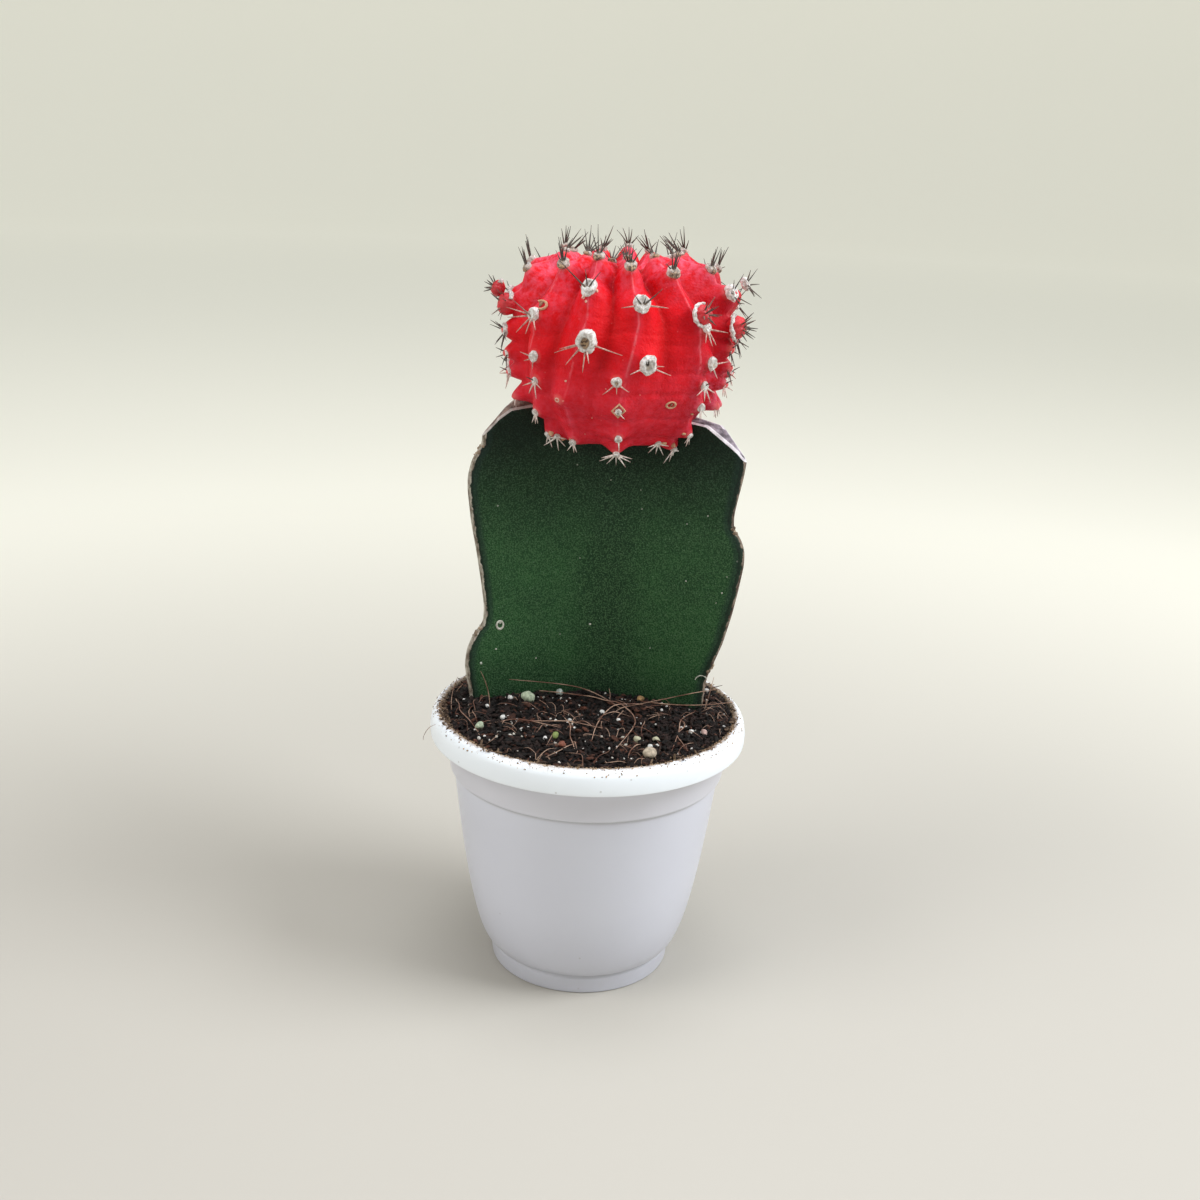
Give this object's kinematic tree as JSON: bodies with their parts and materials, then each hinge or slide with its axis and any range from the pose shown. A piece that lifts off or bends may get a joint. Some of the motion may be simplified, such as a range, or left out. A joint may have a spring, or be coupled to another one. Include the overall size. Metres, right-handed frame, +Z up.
{
  "type": "potted moon cactus",
  "caption": "Red grafted cactus globe with spines and offsets on a three-winged green rootstock, standing in potting mix in a round white nursery pot.",
  "frame": {"origin": "middle of the pot's flat underside, on the surface it stands on", "axes": "+Z up along the plant, -Y to the front of the rootstock's broad face, +X to the right seen from the front"},
  "size_m": [0.0798, 0.082, 0.1875],
  "materials": {
    "pot_plastic": "moulded white plastic, satin gloss",
    "potting_mix": "loose dark coconut-fibre mix with white perlite grains",
    "rootstock_skin": "waxy dark green cactus skin with a corky edge",
    "scion_skin": "fleshy red cactus skin, slightly glossy, with white wool and thin spines"
  },
  "bodies": {
    "root": {"pot": "pot_plastic", "potting_mix": "potting_mix", "rootstock": "rootstock_skin", "scion": "scion_skin"}
  },
  "joints": []
}
